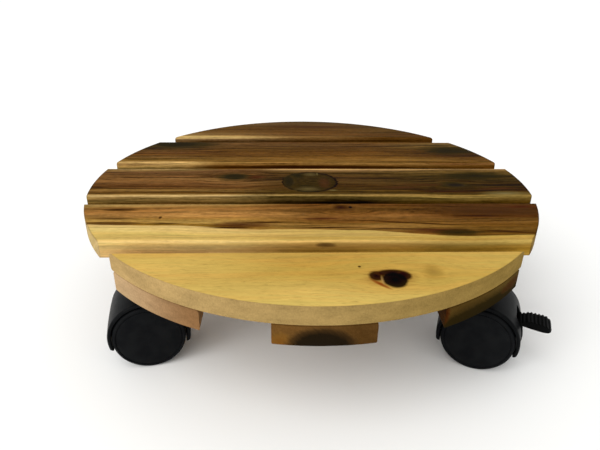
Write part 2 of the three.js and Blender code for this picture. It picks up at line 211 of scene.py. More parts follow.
def add_light():
    """A pale room, a broad key light from the upper left in front, and a softbox for the gloss."""
    scene = bpy.context.scene
    scene.view_settings.view_transform = "Standard"
    world = bpy.data.worlds.new("studio")
    world.use_nodes = True
    background = world.node_tree.nodes["Background"]
    background.inputs["Color"].default_value = (1, 1, 1, 1)
    background.inputs["Strength"].default_value = ROOM_BRIGHTNESS
    scene.world = world
    spread = radians(KEY_SPREAD_DEGREES)
    add_lamp("key", "SUN", KEY_BRIGHTNESS, (-1.1, -1.2, 1.8), (0, 0, 0), angle=spread)
    softbox = {"shape": "RECTANGLE", "size": 0.5, "size_y": 0.9}
    add_lamp("softbox", "AREA", SOFTBOX_POWER, (-0.9, -0.7, 0.7), (0, 0, 0.05), **softbox)


def add_floor():
    half = FLOOR_HALF_SIZE
    mesh = bpy.data.meshes.new("floor")
    corners = [(-half, -half, 0), (half, -half, 0), (half, half, 0), (-half, half, 0)]
    mesh.from_pydata(corners, [], [(0, 1, 2, 3)])
    floor = bpy.data.objects.new("floor", mesh)
    floor.data.materials.append(floor_paint())
    bpy.context.scene.collection.objects.link(floor)


# ---- Material building ----


def colour(code):
    """A linear colour, with alpha, from an sRGB code such as #c9a551."""
    channels = [int(code[i : i + 2], 16) / 255 for i in (1, 3, 5)]
    linear = [c / 12.92 if c <= 0.04045 else ((c + 0.055) / 1.055) ** 2.4 for c in channels]
    return (*linear, 1)


class Surface:
    """A node material in the making. Each method adds a node and gives its output socket."""

    def __init__(self, name):
        self.material = bpy.data.materials.new(name)
        self.material.use_nodes = True
        self.tree = self.material.node_tree
        self.shader = self.tree.nodes["Principled BSDF"]

    def feed(self, socket, value):
        if isinstance(value, bpy.types.NodeSocket):
            self.tree.links.new(value, socket)
        else:
            socket.default_value = value

    def node(self, kind, inputs, output=0, **settings):
        node = self.tree.nodes.new("ShaderNode" + kind)
        for key, value in settings.items():
            setattr(node, key, value)
        for key, value in inputs.items():
            self.feed(node.inputs[key], value)
        return node.outputs[output]

    def math(self, operation, a, b=0.0, c=0.0):
        return self.node("Math", {0: a, 1: b, 2: c}, operation=operation)

    def scaled_add(self, a, factor, b):
        """a times a factor, plus b."""
        return self.math("MULTIPLY_ADD", a, factor, b)

    def add(self, a, b):
        return self.math("ADD", a, b)

    def subtract(self, a, b):
        return self.math("SUBTRACT", a, b)

    def multiply(self, a, b):
        return self.math("MULTIPLY", a, b)

    def place(self):
        """The x, y and z of a point in the frame, in millimetres."""
        point = self.node("TexCoord", {}, "Object")
        scaled = self.node("VectorMath", {0: point, "Scale": 1 / MM}, operation="SCALE")
        split = self.tree.nodes.new("ShaderNodeSeparateXYZ")
        self.feed(split.inputs[0], scaled)
        return split.outputs

    def point(self, x, y, z):
        return self.node("CombineXYZ", {0: x, 1: y, 2: z})

    def noise(self, point, detail, roughness=0.5):
        inputs = {"Vector": point, "Scale": 1.0, "Detail": detail, "Roughness": roughness}
        return self.node("TexNoise", inputs)

    def stretched_noise(self, place, scales, detail, roughness=0.5):
        """Noise with a scale of its own along each of x, y and z."""
        scaled = [self.multiply(axis, scale) for axis, scale in zip(place, scales)]
        return self.noise(self.point(*scaled), detail, roughness)

    def between(self, value, low, high):
        """0 below low, 1 above high, and a smooth step from one to the other."""
        inputs = {"Value": value, "From Min": low, "From Max": high}
        return self.node("MapRange", inputs, interpolation_type="SMOOTHSTEP")

    def mix(self, amount, a, b, blend="MIX"):
        inputs = {0: amount, 6: a, 7: b}
        return self.node("Mix", inputs, 2, data_type="RGBA", blend_type=blend)

    def shade(self, tone, level):
        """A tone made lighter or darker by a level."""
        grey = self.node("CombineColor", {0: level, 1: level, 2: level})
        return self.mix(1.0, tone, grey, "MULTIPLY")

    def ramp(self, value, stops):
        """The node of a colour ramp through stops of (position, colour)."""
        ramp = self.tree.nodes.new("ShaderNodeValToRGB")
        elements = ramp.color_ramp.elements
        elements.remove(elements[1])
        elements[0].position = stops[0][0]
        elements[0].color = stops[0][1]
        for position, shade in stops[1:]:
            elements.new(position).color = shade
        self.feed(ramp.inputs[0], value)
        return ramp

    def bump(self, height, distance):
        return self.node("Bump", {"Height": height, "Distance": distance * MM, "Strength": 1.0})

    def finish(self, **inputs):
        """Sets the shader's inputs, by their names with spaces for underscores."""
        for key, value in inputs.items():
            self.feed(self.shader.inputs[key.replace("_", " ")], value)
        return self.material


def floor_paint():
    return Surface("floor_paint").finish(Base_Color=colour("#f4f4f2"), Roughness=0.9)


# ---- Wood ----

# Across each board runs a band coordinate: from the middle of its top, in millimetres towards the
# back, and on over the front edge and down the front side, where it goes on below -29.5.
# Each band says the wood's tone at the left end, in the middle and at the right end.
# The bright rows at a slat's front edge, about -29.5, are a painted highlight on its rounding, and
# the paler rows at its back edge, from 24 up, are a painted highlight too. The sapwood's lowest rows
# on the front side are made lighter against the shade of the gap below them, which is painted light.
BANDS = {
    "deck_slat_1": [
        (30, "#d2aa57 #bd964b #c9a555"),
        (12, "#d6b360 #be9847 #c8a655"),
        (0, "#d3ae5e #bf9a49 #c4a14f"),
        (-14, "#d3b05e #d2af5e #c8a655"),
        (-30, "#c8a756 #d5b764 #cdaf5d"),
    ],
    "deck_slat_2": [
        (30, "#8c6b3c #4f361b #5a3a15"),
        (25, "#ac884e #5a3a1c #543618"),
        (20, "#8a6230 #643e1b #52331a"),
        (14, "#a0703a #704a20 #4c2e16"),
        (9, "#a87a42 #80562a #4c2c12"),
        (4, "#9c7236 #6f4a1f #6c4a20"),
        (0, "#b08a48 #84602c #745024"),
        (-4, "#8a6424 #8a6634 #6e4a1c"),
        (-8, "#7a5420 #8a642e #6e4c1f"),
        (-14, "#805a24 #744e22 #6a4a1e"),
        (-24, "#805a24 #6c481e #624216"),
    ],
    "sapwood": [
        (0, "#cca86c #c4a258 #c0a052"),
        (-8, "#d4b06e #c8a65c #c0a052"),
        (-14, "#dfbf74 #c6a45a #bb9a4e"),
        (-18, "#dabb69 #c8a55d #bb9a4e"),
        (-24, "#d0ae62 #bb984c #b8964a"),
        (-27, "#d8b66a #c4a258 #ba964c"),
        # Painted highlight on the front edge's rounding
        (-29.5, "#f4d28a #e0ba6e #d0ae60"),
        (-31, "#e0bf74 #c09a52 #c0a055"),
        (-33, "#d0b070 #a88040 #a0803a"),
        # These lower rows are made lighter against the gap's shade: painted light
        (-36, "#ceaa6c #9c7430 #9a742a"),
        (-39, "#dcb878 #b88e40 #b08a38"),
        (-42, "#e2be80 #cca250 #b8924c"),
    ],
    "deck_slat_3": [
        # Painted highlight along the back edge
        (30, "#d0ae70 #a8824c #bc9660"),
        (27, "#c8a468 #ae8a56 #c09c64"),
        (24, "#86663a #98764e #8e6e44"),
        (20, "#5e4025 #604622 #664e26"),
        (12, "#6c4a28 #483318 #443316"),
        (4, "#825c32 #4c361c #403016"),
        (-4, "#6e4a28 #50391c #3c2b14"),
        (-12, "#62401f #4a3216 #3a2a12"),
        (-20, "#7c5c2e #4c3818 #38220a"),
        (-24, "#55340e #402f0e #57401c"),
        (-27, "#8a6a38 #6d5128 #6b5228"),
        # Painted highlight on the front edge's rounding
        (-29.5, "#b59a68 #8a7040 #8c743e"),
        (-31, "#9a7c48 #66522a #8a7038"),
        (-35, "#7a5e30 #47381e #5a4118"),
        (-38, "#623f18 #211002 #43300e"),
        (-40, "#a07440 #5a3b1c #5a4220"),
        (-42, "#8f672c #52300f #4a3212"),
    ],
    "deck_slat_4": [
        (30, "#504030 #5d3f21 #70522f"),
        (20, "#42341c #604425 #68502b"),
        (10, "#4f3a1d #60431f #503c1c"),
        (0, "#674523 #603f1a #482f12"),
        (-8, "#6b461e #6a471e #4b3116"),
        (-14, "#7c5a30 #6c4a1e #5a3c1a"),
        (-20, "#7a5724 #7c592a #6e4e24"),
        (-26, "#886530 #7b5724 #724f22"),
        # Painted highlight on the front edge's rounding
        (-29, "#d4b070 #96703c #765230"),
        (-31, "#bc965c #8a6433 #6c4a20"),
        (-34, "#a88449 #5a330c #583410"),
        (-36, "#a6864a #714a20 #82602f"),
        (-38, "#8a6a3a #7f5b30 #7a5a2c"),
        (-41, "#5e401f #544022 #503c1c"),
    ],
    "deck_slat_5": [
        (20, "#68543a #5f4628 #50402a"),
        (8, "#64461f #51381b #533c20"),
        (-4, "#634520 #5e3f1c #5d4220"),
        (-12, "#6a4c26 #5f3e1c #573d1e"),
        (-20, "#7c5e36 #664622 #5a3c1e"),
        (-25, "#ae8a50 #6c4c26 #573c1c"),
        # Painted highlight on the front edge's rounding
        (-29, "#deba76 #7c5c34 #5a3c1a"),
        (-31, "#c5a068 #74522c #583a1a"),
        (-33, "#8a6a44 #56381a #4e3012"),
        (-35, "#5c4528 #5a3a1c #604220"),
        (-38, "#50381c #62442a #644626"),
        (-42, "#5a3f20 #5e3f1e #563a1c"),
    ],
    "left_batten": [
        (28, "#9a7348 #a88256 #8a6844"),
        (14, "#b48e60 #a88256 #8a6844"),
        (-8, "#bd9a6e #b08c60 #987450"),
        (-42, "#c2a278 #a07850 #8c6a48"),
    ],
    "centre_batten": [
        (28, "#6e4c2c #86603a #7c5a38"),
        (10, "#5c3e22 #7a5632 #6e4c2c"),
        (-12, "#66462a #8a6440 #7e5a38"),
        (-30, "#7c5628 #7a5632 #6e4c2c"),
        (-42, "#6c4420 #6e4a2a #66462a"),
    ],
    "right_batten": [
        (28, "#55431f #7c5c38 #866440"),
        (8, "#44341a #6e5030 #7c5a38"),
        (-10, "#3c2a16 #64462a #725232"),
        (-26, "#40261a #7a5632 #86603c"),
        (-42, "#46301c #6e4a2a #785634"),
    ],
}
BAND_LOW = -46
BAND_HIGH = 32

# The second slat is heartwood behind this line and pale sapwood in front of it: x and band
SAPWOOD_LINE = [
    (-160, -6),
    (-92, -7),
    (-62, -12),
    (0, -13.5),
    (35, -16),
    (70, -20.5),
    (100, -24),
    (165, -21),
]

# Where each board's left tone ends, its middle tone starts and ends, and its right tone starts
TONE_PLACES = {
    "deck_slat_1": (-110, 0, 0, 110),
    "deck_slat_2": (-70, 10, 50, 120),
    "sapwood": (-90, 0, 30, 110),
    "deck_slat_3": (-75, -15, 30, 110),
    "deck_slat_4": (-125, -75, 60, 140),
    "deck_slat_5": (-110, 5, 10, 90),
}
BATTEN_TONE_PLACES = (-25, 0, 0, 25)

# How strong each board's streaks are, and how strongly the painted shade along its cut edge's rim
# shows
FIGURE = {
    "deck_slat_1": (0.07, 0.12),
    "deck_slat_2": (0.75, 0.3),
    "deck_slat_3": (1.25, 0.5),
    "deck_slat_4": (1.2, 0.5),
    "deck_slat_5": (0.7, 0.5),
    "left_batten": (0.4, 0.15),
    "centre_batten": (0.5, 0.3),
    "right_batten": (0.5, 0.2),
}

# The circle-cut edge: its tone at the left and at the right, how much of that covers the board's
# own tone, and how much painted shade darkens it towards its lower rim. On the slats the paler left
# tone and the darker right tone are partly painted light, from the key lamp on the left.
CutLook = namedtuple("CutLook", "left right cover lower_dark")
CUT_TONES = {
    "deck_slat_1": CutLook("#b59765", "#927840", 0.95, 0.0),
    "deck_slat_2": CutLook("#b5a078", "#66522e", 0.6, 0.2),
    "deck_slat_3": CutLook("#84704e", "#4a3a20", 0.55, 0.3),
    "deck_slat_4": CutLook("#7a6242", "#443218", 0.55, 0.3),
    "deck_slat_5": CutLook("#6a5230", "#443018", 0.5, 0.3),
    "left_batten": CutLook("#bd9e76", "#8a6643", 0.95, 0.0),
    "centre_batten": CutLook("#6e4e29", "#583e21", 0.95, 0.1),
    "right_batten": CutLook("#54401f", "#584622", 0.95, 0.1),
}

# Marks in the wood. Each lies at a place along the board and at a band, with a radius along and a
# breadth across. The grain may bend round it, and it may slope. A batten's marks lie on its front
# end: their place is across the batten and their band is the depth below its top.
# Their rings go from the middle, at 0, to the mark's edge, at 1: place, tone and cover.
Mark = namedtuple("Mark", "along band radius breadth rings bend slope", defaults=(0, 0))

CORE = [(0, "#0c0907", 1.0), (0.8, "#130d09", 0.97), (1, "#2a1a10", 0)]
LOBE = [(0, "#1c0c08", 1.0), (0.65, "#2a120a", 0.95), (1, "#5a3412", 0)]
CRESCENT = [(0, "#7c3410", 0.95), (0.55, "#8a4416", 0.75), (1, "#a06a2c", 0)]
GLINT = [(0, "#c49a62", 0.8), (0.5, "#b08a50", 0.55), (1, "#a07a40", 0)]
BLOT = [(0, "#262019", 1.0), (0.62, "#241e17", 0.98), (0.82, "#32261a", 0.75), (1, "#4e3a22", 0)]
SHADE = [(0, "#262014", 0.95), (0.55, "#2a2314", 0.9), (1, "#4a3a1e", 0)]
DARK_BROWN = [(0, "#241006", 0.95), (0.6, "#341a0a", 0.8), (1, "#54300f", 0)]
HALO = [(0, "#7c5020", 0.75), (0.6, "#8a5e28", 0.5), (1, "#9a7030", 0)]
PALE_KNOT = [(0, "#86662c", 0.6), (0.5, "#94742f", 0.45), (1, "#a88038", 0)]
SMEAR = [(0, "#2a1406", 0.95), (0.5, "#3a2009", 0.75), (1, "#4c300f", 0)]
WINE = [(0, "#3c1a10", 0.9), (0.55, "#4c2614", 0.7), (1, "#5c3418", 0)]
UMBER = [(0, "#462a16", 0.85), (0.6, "#4c3018", 0.65), (1, "#5c3c1c", 0)]
OLIVE = [(0, "#231e0c", 0.95), (0.55, "#2c2510", 0.8), (1, "#403014", 0)]
SOOT = [(0, "#0e0d08", 1.0), (0.6, "#15120a", 0.95), (0.85, "#2c1f10", 0.7), (1, "#4a3018", 0)]
MOSS = [(0, "#64552f", 0.75), (0.5, "#54472a", 0.55), (1, "#40341a", 0)]
REDDISH = [(0, "#52301c", 0.65), (0.6, "#4a2c1a", 0.45), (1, "#40301a", 0)]
PALE = [(0, "#857a50", 0.6), (0.5, "#7c6e40", 0.4), (1, "#6a5a30", 0)]
PLUG_BODY = [(0, "#34270f", 0.95), (0.93, "#362911", 0.9), (0.97, "#362911", 0)]
PLUG_GRAIN = [
    (0, "#241a0b", 0.5),
    (0.22, "#4a3a1c", 0.45),
    (0.36, "#261b0c", 0.5),
    (0.5, "#4a391b", 0.4),
    (0.64, "#241a0b", 0.5),
    (0.76, "#44351a", 0.35),
    (0.9, "#221808", 0.45),
    (1, "#221808", 0.0),
]
PLUG_RING = [
    (0, "#150e06", 0.0),
    (0.88, "#150e06", 0.0),
    (0.93, "#150e06", 0.95),
    (0.97, "#150e06", 0.95),
    (1, "#150e06", 0.0),
]
BEND_ONLY = [(0, "#000000", 0.0), (1, "#000000", 0)]
CRISP = (CORE, LOBE, CRESCENT, GLINT, BLOT, SHADE, PLUG_BODY, PLUG_RING, PALE)

MARKS = {
    "deck_slat_1": [
        Mark(39, -2, 18, 11, HALO, 0.8),
        Mark(32.5, -8.4, 6.5, 2.6, CRESCENT, 0, -0.95),
        Mark(31.5, 0.4, 5.6, 6.4, LOBE),
        Mark(41, 3.6, 11, 4.4, LOBE),
        Mark(47.8, 0.4, 5.2, 5.6, LOBE),
        Mark(34.4, -4.4, 1.3, 6, GLINT),
        Mark(41.6, -3.9, 8, 9.2, CORE),
        Mark(65.8, 4.5, 8, 11, PALE_KNOT, 0.4),
        Mark(22.8, 10.6, 1.2, 1.4, DARK_BROWN),
    ],
    "deck_slat_2": [
        Mark(-141, 18.4, 17, 3.4, SMEAR, 0.3),
        Mark(-141, 4, 20, 2.0, UMBER),
        Mark(-140, -3.6, 24, 3.4, UMBER),
        Mark(-108.8, 5.2, 1.6, 2.6, DARK_BROWN, 0.4),
        Mark(-104, -4.2, 14, 1.3, SMEAR),
        Mark(-50, -6.0, 26, 6.5, WINE, 0.3),
        Mark(-60, -10.4, 20, 2.0, SMEAR),
        Mark(-34, -2.6, 20, 1.8, SMEAR),
        Mark(22, 20.6, 11, 7, UMBER, 0.7),
        Mark(20, 22, 6.5, 5, SMEAR),
        Mark(27, 21.7, 1.5, 1.8, CORE),
        Mark(6, 3, 17, 2.4, WINE),
        Mark(66, -4, 58, 1.4, SMEAR, 0, -0.11),
        Mark(10, -10.7, 34, 1.7, SMEAR),
        Mark(60, -13.4, 36, 1.6, UMBER, 0, -0.05),
        Mark(84, -16, 26, 4.6, WINE),
        Mark(96, -19, 19, 6.0, OLIVE, 0.4),
        Mark(132, -17.8, 26, 2.2, SMEAR, 0, -0.12),
        Mark(132, 15, 46, 11, UMBER, 0.4),
        Mark(116, 7, 34, 2.0, SMEAR, 0, -0.02),
        Mark(155, 22, 16, 3, WINE),
        Mark(20, 10, 55, 13.0, BEND_ONLY, 0.7),
        Mark(5, -32.8, 8, 2.1, UMBER, 0.4),
    ],
    "deck_slat_3": [
        Mark(-84, 10.5, 12, 1.6, SMEAR),
        Mark(-47, 8.5, 12, 4.5, WINE),
        Mark(-63, 9.5, 18, 10, OLIVE, 0.8),
        Mark(-62.8, 9.2, 13, 8.4, SHADE),
        Mark(-61.5, 6.4, 7, 3.4, OLIVE),
        Mark(-0.5, -1.7, 23.3, 21.7, PLUG_BODY),
        Mark(-0.5, -1.7, 23.3, 21.7, PLUG_RING),
        Mark(2, -1, 19, 18, PLUG_GRAIN),
        Mark(-17.6, -1, 5.5, 17, SHADE),
        Mark(-10, 12, 8, 7, OLIVE),
        Mark(11, -5, 6.5, 16, REDDISH),
        Mark(-4, -10.3, 12, 2.2, OLIVE),
        Mark(-3, -16.5, 14, 7, MOSS),
        Mark(1, 14.5, 9, 6, MOSS),
        Mark(6.4, 15.4, 0.8, 4, PALE),
        Mark(17, -19.2, 5, 1.6, PALE),
        Mark(72, -13.8, 24, 3.2, REDDISH),
        Mark(96, -8, 30, 3, UMBER),
        Mark(117, -8.4, 16, 8.5, OLIVE, 0.7),
        Mark(117.4, -8.6, 11, 6.0, SHADE),
        Mark(118, -8.8, 8, 3.2, BLOT),
        Mark(152, -16, 24, 3.6, REDDISH, 0, 0.05),
        # Painted highlight on the front edge's rounding at the right end
        Mark(152, -26, 24, 6, PALE),
        Mark(140, 12, 36, 12, OLIVE, 0.3),
        Mark(105, -22, 26, 2, SMEAR),
        Mark(22, -38.5, 48, 5.5, SOOT, 0.3),
    ],
    "deck_slat_4": [
        Mark(-118, 21, 42, 12, OLIVE, 0.3),
        Mark(-126, 21, 30, 11, SHADE),
        Mark(-104, -4.5, 50, 1.8, UMBER),
        Mark(-60, -9.5, 60, 1.6, UMBER),
        Mark(30, 12, 70, 1.8, UMBER),
        Mark(136, 4, 34, 15, OLIVE, 0.3),
        # Painted highlight along the back edge
        Mark(78, 28, 62, 4.5, HALO),
        Mark(-10, -33.5, 120, 2.2, SMEAR),
    ],
    "deck_slat_5": [
        Mark(-90, -37, 40, 5, SMEAR, 0.3),
        Mark(10, 8, 60, 6, UMBER, 0.3),
    ],
    "left_batten": [],
    "centre_batten": [
        Mark(-25, 12, 9, 7, HALO),
        Mark(-1.7, 14.5, 22, 14.5, BLOT),
    ],
    "right_batten": [
        # Painted shade, darker towards the bottom of the batten's front end
        Mark(-2, 14, 60, 13, SHADE),
        Mark(-29.5, 4, 3.4, 8, WINE),
        Mark(22, 6, 10, 5, UMBER),
    ],
}


# The noises of the grain, by their length along it and their width across it. The number keeps
# each noise apart from the others.
Streaks = namedtuple("Streaks", "length width number detail roughness", defaults=(2, 0.5))

SLOW_SWAY = Streaks(130, 18, 0)
QUICK_SWAY = Streaks(45, 5, 1, 3)
RAGGEDNESS = Streaks(16, 2.2, 2, 3, 0.6)
BROAD = Streaks(200, 3.4, 3, 3, 0.6)
MIDDLING = Streaks(60, 1.8, 4, 3, 0.6)
FINE = Streaks(20, 0.9, 5, 3, 0.7)
PORES = Streaks(6, 0.25, 6, 1)
HUES = Streaks(70, 4.5, 7, 3)
VEINS = Streaks(120, 2.4, 8, 3, 0.55)
FLASHES = Streaks(80, 1.8, 9, 3, 0.55)
FLECKS = Streaks(9, 1.4, 10, 2, 0.6)
CLOUDS = Streaks(34, 16, 11, 3, 0.6)
SHORT = Streaks(5, 1.5, 12, 2, 0.6)

STRONGEST_SWAY = 0.8
SWAY_FADE = (28, 16)
BEND_FALLOFF = 0.35
SLAT_CUT_REACH = 130
BATTEN_CUT_REACH = 30
BATTEN_FRONT = (-60, -100)
WOOD_SEED_STEP = 11
FIRST_BATTEN_SEED = 49
WARM_TINT = (1.035, 0.985, 0.94, 1)
COOL_TINT = (0.98, 1.015, 0.99, 1)
SAP_CALM = 0.55
CRISP_EDGE = 0.2
RAGGED_EDGE = 0.9
# The painted shade along the cut edge's rim
RIM_SHADE_TONE = "#2a1808"

# The tones above are as seen. The wood's own colour is lower, by the light that falls on it and
# by the pale room that its finish reflects.
LIGHT_GAIN = (0.84, 0.84, 0.84)
GLOSS_LIFT = (-0.004, -0.004, -0.004)
DARKEST = (0.001, 0.001, 0.001)
WOOD_ROUGHNESS = 0.46
WOOD_SPECULAR = 0.004
WOOD_RELIEF = 0.09


class Board(Surface):
    """A board's wood in the making: where a point lies in the board, and its grain there."""

    def __init__(self, name, along_x, centre, top, seed):
        super().__init__(name)
        self.name = name
        self.is_slat = along_x
        self.seed = seed
        self.figure, self.rim_shade_cover = FIGURE[name]
        self.liveliness = min(self.figure, STRONGEST_SWAY)
        self.spot = self.place()
        x, y, z = self.spot
        self.along, crosswise = (x, y) if along_x else (y, x)
        self.across = self.subtract(crosswise, centre)
        self.sideways = x if along_x else self.across
        self.depth = self.subtract(top, z)
        self.flat_band = self.subtract(self.across, self.depth)
        self.turned = self.add(self.across, self.depth)
        self.radius = self.math("SQRT", self.add(self.multiply(x, x), self.multiply(y, y)))
        self.on_cut = self.between(self.radius, DECK_RADIUS - 0.55, DECK_RADIUS - 0.25)

    def streaks(self, band, kind):
        """Noise about zero that is long along the grain and narrow across it."""
        point = self.point(
            self.multiply(self.along, 1 / kind.length),
            self.multiply(band, 1 / kind.width),
            self.scaled_add(self.turned, 1 / (6 * kind.width), self.seed + kind.number),
        )
        return self.subtract(self.noise(point, kind.detail, kind.roughness), 0.5)


def swaying_band(board):
    """The band coordinate with the sway of the grain, which fades out at the board's long edges."""
    drift = 0.4 + 0.6 * board.liveliness
    sway = board.multiply(board.streaks(board.flat_band, SLOW_SWAY), 9 * drift)
    sway = board.scaled_add(board.streaks(board.flat_band, QUICK_SWAY), 4.5 * drift, sway)
    inner = board.between(board.math("ABSOLUTE", board.flat_band), *SWAY_FADE)
    return board.scaled_add(sway, inner, board.flat_band)


def marks_and_bends(board, band):
    """How far off each mark is, in its own sizes, and the band bent round the marks."""
    along, across = (board.along, board.flat_band) if board.is_slat else (board.across, board.depth)
    wobble = board.streaks(board.flat_band, RAGGEDNESS)
    distances = []
    for mark in MARKS[board.name]:
        run = board.subtract(along, mark.along)
        rise = board.subtract(across, mark.band)
        if mark.slope:
            rise = board.scaled_add(run, -mark.slope, rise)
        run_share = board.multiply(run, 1 / mark.radius)
        rise_share = board.multiply(rise, 1 / mark.breadth)
        run_square = board.multiply(run_share, run_share)
        square = board.add(run_square, board.multiply(rise_share, rise_share))
        edge = CRISP_EDGE if mark.rings in CRISP else RAGGED_EDGE
        distances.append(board.scaled_add(wobble, edge, board.math("SQRT", square)))
        if mark.bend:
            nearness = board.math("EXPONENT", board.multiply(square, -BEND_FALLOFF))
            pull = board.multiply(nearness, mark.bend)
            band = board.subtract(band, board.multiply(pull, rise))
    return distances, band


def grain_light(board, band, broad, fine, pores):
    """How light the grain leaves the wood, about 1."""
    figure = board.figure
    layers = [
        (broad, 1.8 * figure),
        (board.streaks(band, MIDDLING), 1.8 * figure),
        (fine, 0.35 + 0.8 * figure),
        (board.streaks(board.flat_band, CLOUDS), 0.32),
        (board.streaks(band, SHORT), 1.3 * board.liveliness),
        (pores, -0.15),
        (board.between(board.streaks(band, FLECKS), 0.08, 0.16), -0.1),
    ]
    light = 1.0
    for layer, strength in layers:
        light = board.scaled_add(layer, strength, light)
    veins = board.between(board.streaks(band, VEINS), 0.05, 0.1)
    light = board.multiply(light, board.scaled_add(veins, -0.4 * figure, 1.0))
    flashes = board.between(board.streaks(band, FLASHES), 0.06, 0.11)
    return board.multiply(light, board.scaled_add(flashes, 0.18 * figure, 1.0))


def banded_tone(board, table, band):
    """The tone of a board, from its bands at its left end, its middle and its right end."""
    span = BAND_HIGH - BAND_LOW
    position = board.scaled_add(band, 1 / span, -BAND_LOW / span)
    rows = [((low - BAND_LOW) / span, tones.split()) for low, tones in reversed(BANDS[table])]
    ramps = [board.ramp(position, [(at, colour(tones[i])) for at, tones in rows]) for i in range(3)]
    left, middle, right = (ramp.outputs[0] for ramp in ramps)
    left_end, middle_start, middle_end, right_start = TONE_PLACES.get(table, BATTEN_TONE_PLACES)
    tone = board.mix(board.between(board.sideways, left_end, middle_start), left, middle)
    return board.mix(board.between(board.sideways, middle_end, right_start), tone, right)


def sapwood_share(board, straight_band):
    """1 in front of the sapwood line and 0 behind it."""
    deepest = min(low for _, low in SAPWOOD_LINE)
    stops = []
    for x, low in SAPWOOD_LINE:
        share = low / deepest
        stops.append((0.5 + x / (2 * DECK_RADIUS), (share, share, share, 1)))
    position = board.scaled_add(board.along, 1 / (2 * DECK_RADIUS), 0.5)
    line = board.multiply(board.ramp(position, stops).outputs[0], deepest)
    return board.between(board.subtract(line, straight_band), -0.7, 0.7)


def grained_tone(board, band, straight_band, light):
    """The board's tone in its bands, with the light and the hue of its grain."""
    tone = banded_tone(board, board.name, band)
    if board.name == "deck_slat_2":
        sap = sapwood_share(board, straight_band)
        tone = board.mix(sap, tone, banded_tone(board, "sapwood", band))
        calm = board.scaled_add(sap, -SAP_CALM, 1.0)
        light = board.add(board.multiply(board.subtract(light, 1.0), calm), 1.0)
    hue = board.between(board.streaks(band, HUES), -0.14, 0.14)
    tone = board.mix(1.0, tone, board.mix(hue, WARM_TINT, COOL_TINT), "MULTIPLY")
    return board.shade(tone, light)


def cut_tone(board, end_grain):
    """The cloudy, speckled tone of end grain, with painted shade that may darken it towards the lower
    rim, and left and right tones partly set by painted light.
    """
    look = CUT_TONES[board.name]
    reach = SLAT_CUT_REACH if board.is_slat else BATTEN_CUT_REACH
    # Paler at the left and darker at the right: on a slat, partly painted light from the key lamp
    tone = board.mix(
        board.between(board.sideways, -reach, reach),
        colour(look.left),
        colour(look.right),
    )
    patches = board.subtract(board.stretched_noise(board.spot, (0.07, 0.07, 0.16), 3, 0.6), 0.5)
    light = board.scaled_add(end_grain, 0.7, board.scaled_add(patches, 0.8, 1.0))
    # Painted shade, darker towards the lower rim
    lower = board.between(board.depth, 1, 13)
    return board.shade(tone, board.multiply(light, board.scaled_add(lower, -look.lower_dark, 1.0)))


def painted_marks(board, tone, distances):
    """The tone with the board's marks on it. On a batten they show at its front end only."""
    shown = 1.0
    if not board.is_slat:
        shown = board.multiply(board.on_cut, board.between(board.spot[1], *BATTEN_FRONT))
    for distance, mark in zip(distances, MARKS[board.name]):
        stops = [(at, (*colour(code)[:3], cover)) for at, code, cover in mark.rings]
        ramp = board.ramp(distance, stops)
        tone = board.mix(board.multiply(ramp.outputs[1], shown), tone, ramp.outputs[0])
    return tone


def shaded_rim(board, tone):
    """The tone with a dark line of painted shade where the cut edge meets the top."""
    rim = board.multiply(
        board.between(board.radius, DECK_RADIUS - 1.1, DECK_RADIUS - 0.5),
        board.between(board.depth, 0.9, 0.2),
    )
    return board.mix(board.multiply(rim, board.rim_shade_cover), tone, colour(RIM_SHADE_TONE))


def wood(name, along_x, centre, top, seed):
    """A clear-finished acacia board, along X or along Y, whose cut edge lies on the deck's circle."""
    board = Board(name, along_x, centre, top, seed)
    straight_band = swaying_band(board)
    distances, band = marks_and_bends(board, straight_band)
    broad = board.streaks(band, BROAD)
    fine = board.streaks(band, FINE)
    pores = board.between(board.streaks(band, PORES), 0.12, 0.24)
    end_grain = board.subtract(board.stretched_noise(board.spot, (1.1, 1.1, 0.8), 3, 0.65), 0.5)

    light = grain_light(board, band, broad, fine, pores)
    tone = grained_tone(board, band, straight_band, light)
    cut_share = board.multiply(board.on_cut, CUT_TONES[name].cover)
    tone = board.mix(cut_share, tone, cut_tone(board, end_grain))
    tone = shaded_rim(board, painted_marks(board, tone, distances))

    lit = {0: tone, 1: LIGHT_GAIN, 2: GLOSS_LIFT}
    own = {0: board.node("VectorMath", lit, operation="MULTIPLY_ADD"), 1: DARKEST}
    rough = board.scaled_add(broad, 0.3, WOOD_ROUGHNESS)
    height = board.scaled_add(pores, -0.8, board.multiply(fine, 0.5))
    height = board.scaled_add(board.multiply(board.on_cut, end_grain), 1.2, height)
    return board.finish(
        Base_Color=board.node("VectorMath", own, operation="MAXIMUM"),
        Roughness=board.scaled_add(board.on_cut, 0.2, rough),
        Normal=board.bump(height, WOOD_RELIEF),
        Specular_IOR_Level=WOOD_SPECULAR,
    )


# ---- Plastic and steel ----

SCUFF_TONE = "#222326"
PLASTIC_SPECULAR = 0.035
PLASTIC_RELIEF = 0.035
STEEL_TONES = ("#aeb1b5", "#c9cbcc")
STEEL_ROUGHNESS = 0.34
STEEL_RELIEF = 0.02


